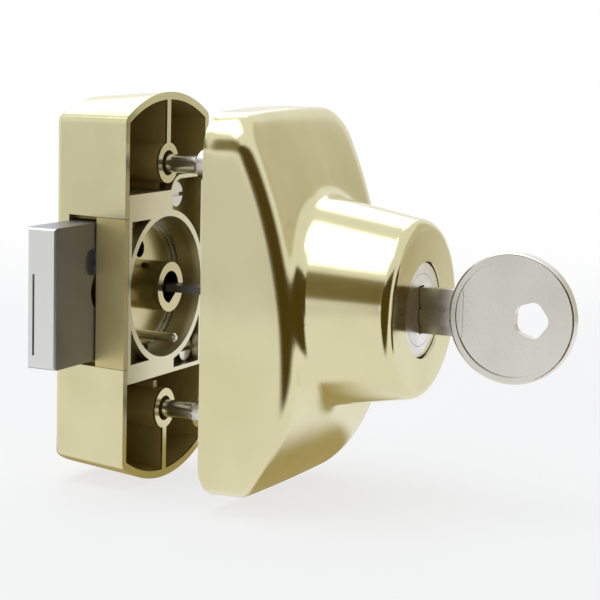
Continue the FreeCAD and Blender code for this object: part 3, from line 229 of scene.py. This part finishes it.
class Shader(Nodes):
    """A material with one Principled surface."""

    def __init__(self, name: str) -> None:
        """Makes the material.

        Args:
            name: the material's name.
        """
        self.material = bpy.data.materials.new(name)
        super().__init__(self.material, "ShaderNodeOutputMaterial")
        self.look = self.node("ShaderNodeBsdfPrincipled")
        self.surface = self.look.socket.node
        self.finish(self.look)

    def set(self, **values: Link) -> None:
        """Sets the surface's sockets.

        Args:
            values: one for each socket, named in small letters with _ for a space.
        """
        for name, value in values.items():
            title = name.replace("_", " ").title().replace("Ior", "IOR")
            self.feed(self.surface.inputs[title], value)

    def place(self, scale: Point = (1.0, 1.0, 1.0)) -> Wire:
        """The point on the surface in the object's own metres, scaled along each axis.

        Args:
            scale: one factor for each axis.

        Returns:
            The scaled point.
        """
        point = self.node("ShaderNodeTexCoord", output="Object")
        return self.node("ShaderNodeMapping", None, {"Vector": point, "Scale": scale})

    def axis_of(self, vector: Wire, axis: str) -> Wire:
        """One component of a vector.

        Args:
            vector: the vector.
            axis: X, Y or Z.

        Returns:
            That component.
        """
        return self.node("ShaderNodeSeparateXYZ", None, {0: vector}, axis)

    def length(self, vector: Wire) -> Wire:
        """How long a vector is."""
        return self.node("ShaderNodeVectorMath", {"operation": "LENGTH"}, {0: vector}, "Value")

    def reach(self) -> Wire:
        """How far the point on the surface lies from the lock's own axis, which is Y."""
        return self.length(self.place((1.0, 0.0, 1.0)))

    def noise(self, vector: Wire, scale: float, layers: float, harshness: float) -> Wire:
        """Soft noise between 0 and 1.

        Args:
            vector: where it is read.
            scale: how fine it is.
            layers: how many finer layers it has.
            harshness: how strong those are.

        Returns:
            The noise.
        """
        sockets = {"Vector": vector, "Scale": scale, "Detail": layers, "Roughness": harshness}
        return self.node("ShaderNodeTexNoise", None, sockets)

    def mix(self, share: Value, first: Link, second: Link, sort: Mixed = Mixed.COLOURS) -> Wire:
        """Mixes two colours or two vectors.

        Args:
            share: 0 gives the first and 1 the second.
            first: a colour or a vector.
            second: a colour or a vector.
            sort: which of the two they are.

        Returns:
            The mixed one.
        """
        data_type, first_input, second_input, output = sort.value
        sockets = {0: share, first_input: first, second_input: second}
        return self.node("ShaderNodeMix", {"data_type": data_type}, sockets, output)

    def bump(self, height: Wire, distance: float, start: Wire | None) -> None:
        """Feeds the surface's normal with a bump.

        Args:
            height: the height, between 0 and 1.
            distance: how high 1 is, in metres.
            start: the normal that the bump starts from, or None for the surface's own.
        """
        sockets: dict[Union[str, int], Link] = {"Height": height, "Distance": distance}
        if start is not None:
            sockets["Normal"] = start
        self.feed(self.surface.inputs["Normal"], self.node("ShaderNodeBump", None, sockets))


# Finishes.


@dataclass(frozen=True)
class Marks:
    """The marks of a tool: how many lie in a metre along each axis, and their finer layers."""

    per_metre: Point
    layers: float = 3.0
    harshness: float = 0.6


class Grain(Enum):
    """The way that a metal surface was worked, with its marks.

    Those of turned metal are counted out from the axis and then along it.
    """

    SATIN = Marks((7000.0, 7000.0, 260.0), layers=2.0, harshness=0.5)
    MILLED = Marks((5200.0, 400.0, 200.0))
    TURNED = Marks((5200.0, 5200.0, 0.0))
    DRAWN = Marks((140.0, 5200.0, 5200.0))
    STAMPED = Marks((1500.0, 1500.0, 1500.0), layers=4.0)


@dataclass(frozen=True)
class Surface:
    """What a finish gives its surface, by value or over the surface."""

    colour: Wire
    roughness: Value
    metallic: Value


@dataclass(frozen=True)
class Metal:
    """A bare or plated metal finish.

    The body colour shifts a little between two tones in soft patches, and the grain
    shows in the roughness and in a fine bump.
    """

    light: Colour
    dark: Colour
    roughness: float
    grain: Grain
    grain_depth: float = 0.001 * MM
    grain_share: float = 0.25
    patch_scale: float = 55.0
    metallic: float = 1.0

    patch_layers: ClassVar[float] = 2.0
    patch_harshness: ClassVar[float] = 0.55
    patch_start: ClassVar[float] = 0.3
    patch_end: ClassVar[float] = 0.7
    roughness_spread: ClassVar[float] = 0.35
    grain_middle: ClassVar[float] = 0.5

    def _grain(self, shader: Shader) -> Wire:
        """The worked pattern.

        Args:
            shader: the shader that gets it.

        Returns:
            A value between 0 and 1.
        """
        marks = self.grain.value
        if self.grain is Grain.TURNED:
            outwards, along, _ = marks.per_metre
            rings = {"X": shader.reach() * outwards, "Y": shader.axis_of(shader.place(), "Y") * along}
            point = shader.node("ShaderNodeCombineXYZ", None, rings)
        else:
            point = shader.place(marks.per_metre)
        return shader.noise(point, 1.0, marks.layers, marks.harshness)

    def _colour(self, shader: Shader, grain: Wire) -> Wire:
        """The body colour over the surface.

        Args:
            shader: the shader that gets it.
            grain: the worked pattern.

        Returns:
            The colour.
        """
        patches = shader.noise(
            shader.place(), self.patch_scale, self.patch_layers, self.patch_harshness
        ).ramp(self.patch_start, self.patch_end)
        share = patches * (1.0 - self.grain_share) + grain * self.grain_share
        return shader.mix(share, self.dark, self.light)

    def surface(self, shader: Shader, grain: Wire) -> Surface:
        """The colour, the roughness and the metallic share.

        Args:
            shader: the shader that gets them.
            grain: the worked pattern.

        Returns:
            The three of them.
        """
        spread = (grain - self.grain_middle) * (self.roughness * self.roughness_spread)
        return Surface(self._colour(shader, grain), self.roughness + spread, self.metallic)

    def base_normal(self, shader: Shader) -> Wire | None:
        """The normal that the grain's bump starts from, where it isn't the surface's own."""
        return None

    def build(self, name: str) -> bpy.types.Material:
        """Makes the material.

        Args:
            name: the material's name.

        Returns:
            The material.
        """
        shader = Shader(name)
        grain = self._grain(shader)
        made = self.surface(shader, grain)
        shader.set(base_color=made.colour, metallic=made.metallic, roughness=made.roughness)
        shader.bump(grain, self.grain_depth, self.base_normal(shader))
        return shader.material


@dataclass(frozen=True)
class Other:
    """The other finish, or the painted shade, that a piece has on part of its surface."""

    colour: Colour
    roughness: float
    metallic: float = 1.0


@dataclass(frozen=True)
class TwoToneMetal(Metal, ABC):
    """A metal that has another finish, or a painted shade, on part of its surface."""

    other: Other = field(kw_only=True)

    @abstractmethod
    def zone(self, shader: Shader) -> Wire:
        """Where the other finish or the painted shade takes over.

        Args:
            shader: the shader that gets it.

        Returns:
            The share of the other finish or the painted shade, between 0 and 1.
        """

    def surface(self, shader: Shader, grain: Wire) -> Surface:
        """The colour, the roughness and the metallic share of both finishes, or of the finish and its
        painted shade.

        Args:
            shader: the shader that gets them.
            grain: the worked pattern.

        Returns:
            The three of them.
        """
        body = super().surface(shader, grain)
        share = self.zone(shader)
        return Surface(
            shader.mix(share, body.colour, self.other.colour),
            body.roughness + share * (self.other.roughness - self.roughness),
            body.metallic + share * (self.other.metallic - self.metallic),
        )


@dataclass(frozen=True)
class HollowShadedMetal(TwoToneMetal):
    """A casting, open at the front, with painted shade in its hollows, which are coloured darker and
    duller there.

    Its side walls and ends lean in towards the back, and its ends are arched.
    """

    half_width: float = 17.2 * MM
    side_lean: float = 3.0 / 19.0
    half_height: float = 41.5 * MM
    end_lean: float = 1.8 / 19.0
    arch_radius: float = 33.75 * MM
    rim: float = 0.35 * MM
    back: float = 18.2 * MM
    fade: float = 0.3 * MM

    def zone(self, shader: Shader) -> Wire:
        """The inside of the casting, behind its rim and in front of its back face, where the shade is
        painted.

        Args:
            shader: the shader that gets it.

        Returns:
            The share of the painted shade.
        """
        point = shader.place()
        across, depth, up = (shader.axis_of(point, axis) for axis in "XYZ")
        arch_fall = across * across * (0.5 / self.arch_radius)
        side = abs(across) + depth * self.side_lean
        end = abs(up) + depth * self.end_lean + arch_fall
        inside = 1.0 - side.ramp(self.half_width, self.half_width + self.fade)
        inside = inside * (1.0 - end.ramp(self.half_height, self.half_height + self.fade))
        inside = inside * (1.0 - depth.ramp(self.back, self.back + self.fade))
        return inside * depth.ramp(self.rim, self.rim + self.fade)


@dataclass(frozen=True)
class DepthShadedMetal(TwoToneMetal):
    """A machined casting that is bright on its faced surface, with painted shade that darkens it
    further into its hollows.
    """

    shallow: float = 0.25 * MM
    deep: float = 2.2 * MM

    def zone(self, shader: Shader) -> Wire:
        """What lies further in than the faced surface.

        Args:
            shader: the shader that gets it.

        Returns:
            The share of the painted shade.
        """
        return shader.axis_of(shader.place(), "Y").ramp(self.shallow, self.deep)


@dataclass(frozen=True)
class GroundEndMetal(TwoToneMetal):
    """A steel bar with a ground end and darker sides."""

    end_place: float = -31.55 * MM
    end_fade: float = 0.3 * MM

    def zone(self, shader: Shader) -> Wire:
        """The ground end.

        Args:
            shader: the shader that gets it.

        Returns:
            The share of the other finish.
        """
        along = shader.axis_of(shader.place(), "X")
        return along.ramp(self.end_place, self.end_place - self.end_fade)


@dataclass(frozen=True)
class RoundedMetal(Metal):
    """A polished casting whose edges are rounded off by the buffing wheel.

    Its rim and its barrel keep their own shape.
    """

    round_over: float = 3.6 * MM
    round_samples: int = 16
    rim_place: float = -22.6 * MM
    rim_fade: float = 4.0 * MM
    barrel_radius: float = 21.0 * MM
    barrel_fade: float = 2.5 * MM

    def base_normal(self, shader: Shader) -> Wire | None:
        """The buffed normal, which goes back to the casting's own at its rim and on the barrel.

        Args:
            shader: the shader that gets it.

        Returns:
            The normal.
        """
        settings = {"samples": self.round_samples}
        buffed = shader.node("ShaderNodeBevel", settings, {"Radius": self.round_over})
        plain = shader.node("ShaderNodeNewGeometry", output="Normal")
        depth = shader.axis_of(shader.place(), "Y")
        share = depth.ramp(self.rim_place, self.rim_place - self.rim_fade)
        share = share * shader.reach().ramp(self.barrel_radius, self.barrel_radius + self.barrel_fade)
        return shader.mix(share, plain, buffed, Mixed.VECTORS)


@dataclass(frozen=True)
class Finishes:
    """Every finish of the lock: one for each material slot, then those of single pieces."""

    cast_shell: Metal = HollowShadedMetal(
        light=(0.70, 0.655, 0.41),
        dark=(0.63, 0.585, 0.35),
        roughness=0.22,
        grain=Grain.SATIN,
        grain_depth=0.0006 * MM,
        # painted shade: the darker, duller colour and lower metallic share of the casting's hollows
        other=Other((0.47, 0.37, 0.12), roughness=0.42, metallic=0.5),
    )
    machined_face: Metal = DepthShadedMetal(
        light=(0.82, 0.78, 0.58),
        dark=(0.74, 0.70, 0.50),
        roughness=0.30,
        grain=Grain.MILLED,
        # painted shade: darker further in than the faced surface
        other=Other((0.42, 0.36, 0.17), roughness=0.34, metallic=0.85),
    )
    bolt_steel: Metal = GroundEndMetal(
        light=(0.32, 0.32, 0.33),
        dark=(0.25, 0.25, 0.26),
        roughness=0.36,
        grain=Grain.DRAWN,
        metallic=0.75,
        other=Other((0.76, 0.76, 0.745), roughness=0.36),
    )
    hard_rod: Metal = Metal(
        light=(0.25, 0.25, 0.26),
        dark=(0.17, 0.17, 0.18),
        roughness=0.30,
        grain=Grain.DRAWN,
    )
    hub_metal: Metal = Metal(
        light=(0.66, 0.60, 0.36),
        dark=(0.54, 0.48, 0.26),
        roughness=0.22,
        grain=Grain.TURNED,
        grain_depth=0.006 * MM,
    )
    bearing_bronze: Metal = Metal(
        light=(0.50, 0.33, 0.15),
        dark=(0.36, 0.22, 0.10),
        roughness=0.4,
        grain=Grain.TURNED,
    )
    screw_steel: Metal = Metal(
        light=(0.78, 0.77, 0.73),
        dark=(0.66, 0.65, 0.61),
        roughness=0.22,
        grain=Grain.TURNED,
    )
    cylinder_nickel: Metal = Metal(
        light=(0.92, 0.915, 0.90),
        dark=(0.74, 0.73, 0.71),
        roughness=0.30,
        grain=Grain.TURNED,
        patch_scale=260.0,
    )
    key_nickel: Metal = Metal(
        light=(0.74, 0.72, 0.655),
        dark=(0.66, 0.64, 0.58),
        roughness=0.26,
        grain=Grain.STAMPED,
        grain_depth=0.0002 * MM,
        grain_share=0.12,
    )
    wafer_brass: Metal = Metal(
        light=(0.66, 0.48, 0.20),
        dark=(0.52, 0.36, 0.14),
        roughness=0.32,
        grain=Grain.MILLED,
    )
    spring_steel: Metal = Metal(
        light=(0.42, 0.42, 0.43),
        dark=(0.30, 0.30, 0.31),
        roughness=0.28,
        grain=Grain.DRAWN,
    )
    buffed_shell: Metal = RoundedMetal(
        light=(0.71, 0.665, 0.42),
        dark=(0.64, 0.595, 0.36),
        roughness=0.15,
        grain=Grain.SATIN,
        grain_depth=0.0005 * MM,
    )
    dull_strip: Metal = Metal(
        light=(0.80, 0.69, 0.34),
        dark=(0.68, 0.57, 0.26),
        roughness=0.5,
        grain=Grain.MILLED,
        grain_depth=0.003 * MM,
        metallic=0.7,
    )
    blued_steel: Metal = Metal(
        light=(0.16, 0.15, 0.14),
        dark=(0.10, 0.095, 0.09),
        roughness=0.34,
        grain=Grain.DRAWN,
    )

    def build_all(self) -> dict[str, bpy.types.Material]:
        """Makes every material.

        Returns:
            The materials by name.
        """
        made = {}
        for finish in fields(self):
            made[finish.name] = getattr(self, finish.name).build(finish.name)
            LOG.info("finish %s", finish.name)
        return made


# Pieces.


@dataclass
class CadDressing:
    """Gives each node of the frame its finish and soft worn edges.

    Nodes named in own_finish don't have the finish of their material slot, and those
    named in sharp are too thin for a round on their edges.
    """

    materials: Mapping[str, bpy.types.Material]
    edge_round: float = 0.15 * MM
    edge_segments: int = 2
    edge_angle: float = math.radians(28.0)
    sharp: tuple[str, ...] = ("wafers", "wafer_springs")
    own_finish: Mapping[str, str] = field(
        default_factory=lambda: {
            "cover": "buffed_shell",
            "bolt_slot_filler": "dull_strip",
            "tailpiece": "blued_steel",
        }
    )

    def dress(self) -> None:
        """Gives every node its material and, where it has room, a small round on its edges."""
        slots = {part["node"]: part["material_slot"] for part in frame["record"]["subparts"]}
        for name, obj in frame["nodes"].items():
            finish = self.own_finish.get(name, slots[name])
            obj.data.materials.clear()
            obj.data.materials.append(self.materials[finish])
            if name not in self.sharp:
                self._soften(obj)
            LOG.info("node %s dressed in %s", name, finish)

    def _soften(self, obj: bpy.types.Object) -> None:
        """Rounds the object's sharp edges.

        Args:
            obj: a node of the frame.
        """
        bevel = obj.modifiers.new("worn_edges", "BEVEL")
        bevel.width = self.edge_round
        bevel.segments = self.edge_segments
        bevel.limit_method = "ANGLE"
        bevel.angle_limit = self.edge_angle
        bevel.harden_normals = True


# Floor, lights and camera.


def four_sided(name: str, corners: Sequence[Point], shader: Shader) -> bpy.types.Object:
    """Adds a flat sheet with four corners to the scene.

    Args:
        name: the sheet's name.
        corners: its corners, in order.
        shader: its material.

    Returns:
        The sheet.
    """
    mesh = bpy.data.meshes.new(name)
    mesh.from_pydata(list(corners), [], [(0, 1, 2, 3)])
    mesh.materials.append(shader.material)
    made = bpy.data.objects.new(name, mesh)
    bpy.context.scene.collection.objects.link(made)
    return made


@dataclass(frozen=True)
class SoftBox:
    """A square or oblong soft lamp that faces the lock."""

    name: str
    place: Point
    width: float
    height: float
    brightness: float
    tint: Colour

    def build(self) -> None:
        """Makes the lamp, with the energy that gives a sheet of its size its brightness."""
        data = bpy.data.lights.new(self.name, "AREA")
        data.shape = "RECTANGLE"
        data.size = self.width
        data.size_y = self.height
        data.energy = self.brightness * math.pi * self.width * self.height
        data.color = self.tint
        lamp = bpy.data.objects.new(self.name, data)
        lamp.location = self.place
        lamp.rotation_mode = "QUATERNION"
        lamp.rotation_quaternion = (-Vector(self.place)).to_track_quat("-Z", "Y")
        bpy.context.scene.collection.objects.link(lamp)
        LOG.info("lamp %s", self.name)


@dataclass(frozen=True)
class Card:
    """A sheet that shows only in the metal's reflections, a painted reflection: it glows with its tone
    there and is clear to every other ray.

    Over the share of its size that soft gives, it fades towards each edge.
    """

    name: str
    corners: Sequence[Point]
    tone: Colour
    soft: float = 0.0

    def _shown(self, shader: Shader) -> Wire:
        """Where the card shows: in reflections, and less towards its edges where it is soft.

        Args:
            shader: the card's shader.

        Returns:
            The share that shows.
        """
        shown = shader.ray(Ray.GLOSSY)
        if self.soft > 0.0:
            spread = shader.node("ShaderNodeTexCoord", output="Generated")
            for axis in "XY":
                along = shader.axis_of(spread, axis)
                shown = shown * along.ramp(0.0, self.soft) * along.ramp(1.0, 1.0 - self.soft)
        return shown

    def build(self) -> None:
        """Makes the card."""
        shader = Shader(self.name)
        glow = shader.node("ShaderNodeEmission", None, {"Color": self.tone, "Strength": 1.0})
        clear = shader.node("ShaderNodeBsdfTransparent")
        shader.finish(shader.blend(self._shown(shader), clear, glow))
        card = four_sided(self.name, self.corners, shader)
        LOG.info("card %s", self.name)


def upright_card(name: str, start: Place, end: Place, low: float, high: float, tone: Colour) -> Card:
    """A card that stands on a line.

    Args:
        name: the card's name.
        start: one end of the line, across and along.
        end: the other end.
        low: the height of its lower edge.
        high: the height of its upper edge.
        tone: its colour.

    Returns:
        The card.
    """
    return Card(name, ((*start, low), (*end, low), (*end, high), (*start, high)), tone)


def flat_card(name: str, corner: Place, other: Place, height: float, tone: Colour, soft: float) -> Card:
    """A card that lies flat.

    Args:
        name: the card's name.
        corner: one corner, across and along.
        other: the opposite corner.
        height: the height that it lies at.
        tone: its colour.
        soft: the share of its size over which it fades at each edge.

    Returns:
        The card.
    """
    places = (corner, (other[0], corner[1]), other, (corner[0], other[1]))
    return Card(name, tuple((*place, height) for place in places), tone, soft)


@dataclass(frozen=True)
class Studio:
    """A pale floor, soft lights, cards and the camera at the photograph's place.

    The cards give the metal the bands that it has in the photograph. Their places, and those
    of the lamps, are in metres in the lock's own frame.
    """

    azimuth: float = math.radians(-64.31)
    elevation: float = math.radians(8.11)
    roll: float = math.radians(1.42)
    distance: float = 436.7 * MM
    across: float = 29.12 * MM
    up: float = -2.98 * MM
    lens: float = 120.0
    sensor: float = 36.0
    nearest: float = 10.0 * MM
    world_tone: Colour = (0.9, 0.9, 0.9)
    world_light: float = 0.45
    floor_tone: Colour = (0.9, 0.9, 0.9)
    floor_roughness: float = 0.8
    floor_size: float = 6.0
    floor_drop: float = 0.5 * MM
    floor_near: float = 0.16
    floor_far: float = 0.55
    floor_glow: float = 0.72
    lamps: tuple[SoftBox, ...] = (
        SoftBox("top_light", (-0.22, 0.19, 0.89), 0.90, 0.68, brightness=2.0, tint=(0.88, 0.94, 1.0)),
        SoftBox("back_light", (0.60, 0.34, 0.60), 0.55, 0.55, brightness=1.45, tint=(0.76, 0.82, 1.0)),
    )
    # Painted reflections: sheets that glow with these tones only for glossy rays, giving the metal its
    # dark bands and pale highlights.
    cards: tuple[Card, ...] = (
        upright_card(
            "card_left", (-0.80, -0.15), (-0.80, 0.35), low=0.14, high=0.64, tone=(0.24, 0.20, 0.085)
        ),
        upright_card(
            "card_side", (-0.30, -0.02), (-0.30, 0.50), low=-0.043, high=0.02, tone=(0.80, 0.80, 0.80)
        ),
        upright_card(
            "card_right", (0.30, -0.175), (0.30, -0.50), low=-0.043, high=-0.01, tone=(0.54, 0.47, 0.29)
        ),
        upright_card(
            "card_high", (0.30, -0.12), (0.30, -0.50), low=-0.01, high=0.25, tone=(0.70, 0.67, 0.55)
        ),
        upright_card("card_front", (-0.62, -0.04), (-0.05, -0.62), low=-0.042, high=0.35, tone=REFLECTED_DUSK),
        flat_card("card_floor", (-0.62, -0.62), (-0.03, -0.068), height=-0.0425, tone=REFLECTED_DUSK, soft=0.04),
        # painted shadow: the lock's shade on the floor beneath it, seen only in the metal's reflections
        flat_card(
            "card_shade", (-0.018, -0.050), (0.042, 0.055), height=-0.0424, tone=REFLECTED_SHADOW_OLIVE, soft=0.12
        ),
    )

    def build(self) -> None:
        """Makes the floor, the lights and the camera."""
        bpy.context.scene.view_settings.view_transform = "Standard"
        self._world()
        self._floor()
        for lamp in self.lamps:
            lamp.build()
        for card in self.cards:
            card.build()
        self._camera()

    def _world(self) -> None:
        """A world that is white to the camera and in reflections, and soft elsewhere."""
        world = bpy.data.worlds.new("studio")
        bpy.context.scene.world = world
        nodes = Nodes(world, "ShaderNodeOutputWorld")
        soft_sockets = {"Color": self.world_tone, "Strength": self.world_light}
        soft = nodes.node("ShaderNodeBackground", None, soft_sockets)
        white = nodes.node("ShaderNodeBackground", None, {"Color": WHITE, "Strength": 1.0})
        seen = nodes.ray(Ray.CAMERA) + nodes.ray(Ray.GLOSSY) + nodes.ray(Ray.TRANSMISSION)
        nodes.finish(nodes.blend(seen, soft, white))
        LOG.info("world")

    def _floor(self) -> None:
        """A plain pale floor just under the lock, which fades into the white background."""
        shader = Shader("floor")
        shader.set(base_color=self.floor_tone, roughness=self.floor_roughness, specular_ior_level=0.0)
        seen = shader.ray(Ray.CAMERA) * self.floor_glow
        seen = seen + shader.ray(Ray.GLOSSY) + shader.ray(Ray.TRANSMISSION)
        white = shader.node("ShaderNodeEmission", None, {"Color": WHITE, "Strength": 1.0})
        lit = shader.blend(seen, shader.look, white)
        clear = shader.node("ShaderNodeBsdfTransparent")
        away = shader.length(shader.place()).ramp(self.floor_near, self.floor_far)
        shader.finish(shader.blend(away, lit, clear))
        half = self.floor_size / 2
        corners = ((-half, -half, 0.0), (half, -half, 0.0), (half, half, 0.0), (-half, half, 0.0))
        floor = four_sided("floor", corners, shader)
        floor.location.z = CAD_BOX[0].z - self.floor_drop
        LOG.info("floor")

    def _camera(self) -> None:
        """The camera, turned about the lock's axis as the photograph's was."""
        level_reach = math.cos(self.elevation)
        back = Vector(
            (
                math.sin(self.azimuth) * level_reach,
                -math.cos(self.azimuth) * level_reach,
                math.sin(self.elevation),
            )
        )
        level = Vector((math.cos(self.azimuth), math.sin(self.azimuth), 0.0))
        upright = back.cross(level)
        right = level * math.cos(self.roll) + upright * math.sin(self.roll)
        top = upright * math.cos(self.roll) - level * math.sin(self.roll)
        data = bpy.data.cameras.new("camera")
        data.lens = self.lens
        data.sensor_width = self.sensor
        data.clip_start = self.nearest
        camera = bpy.data.objects.new("camera", data)
        place = back * self.distance + right * self.across + top * self.up
        camera.matrix_world = Matrix(
            (
                (right.x, top.x, back.x, place.x),
                (right.y, top.y, back.y, place.y),
                (right.z, top.z, back.z, place.z),
                (0.0, 0.0, 0.0, 1.0),
            )
        )
        bpy.context.scene.collection.objects.link(camera)
        bpy.context.scene.camera = camera
        LOG.info("camera")


def main() -> None:
    """Dresses the lock and sets up the studio."""
    logging.basicConfig(level=logging.INFO, format="%(name)s: %(message)s")
    materials = Finishes().build_all()
    CadDressing(materials).dress()
    Studio().build()


if __name__ == "__main__":
    main()
